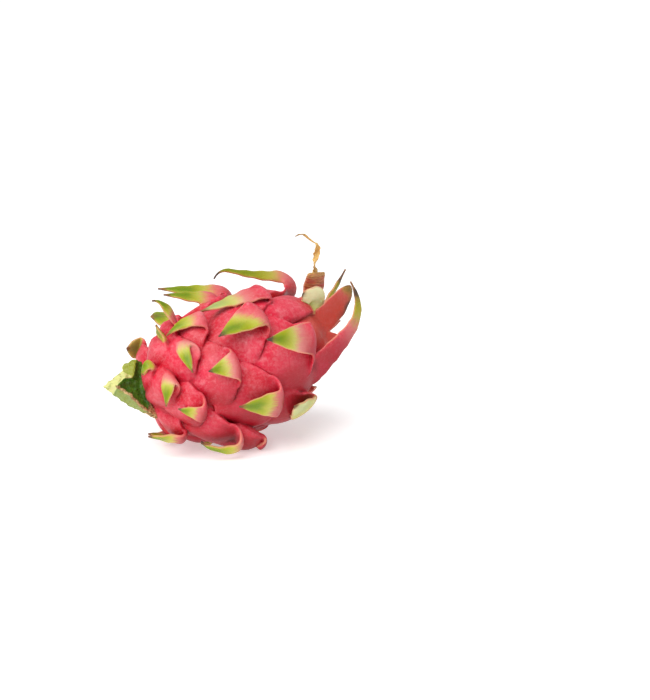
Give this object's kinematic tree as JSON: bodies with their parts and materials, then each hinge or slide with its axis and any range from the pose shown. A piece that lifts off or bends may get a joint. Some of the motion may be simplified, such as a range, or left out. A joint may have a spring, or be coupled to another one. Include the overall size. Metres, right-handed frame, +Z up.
{
  "type": "dragon fruit",
  "caption": "Whole dragon fruit lying on its side, an oval body covered in overlapping scale-like bracts with turned-back tips, and a chip of its stem.",
  "frame": {"origin": "middle of the whole in plan, on the surface it lies on", "axes": "+Z up; +X level along the fruit from the stem end to the flower end; -Y is the side that faces the viewer"},
  "size_m": [0.184, 0.1107, 0.1326],
  "materials": {
    "skin": "waxy pink-red skin, bracts turning green to grey-brown at the tips",
    "stem": "fleshy dark green with pale cut faces and a corky brown rib",
    "withered": "dry papery tan"
  },
  "bodies": {
    "root": {"fruit": "skin", "stem_chip": "stem", "dried_ribbon": "withered"}
  },
  "joints": []
}
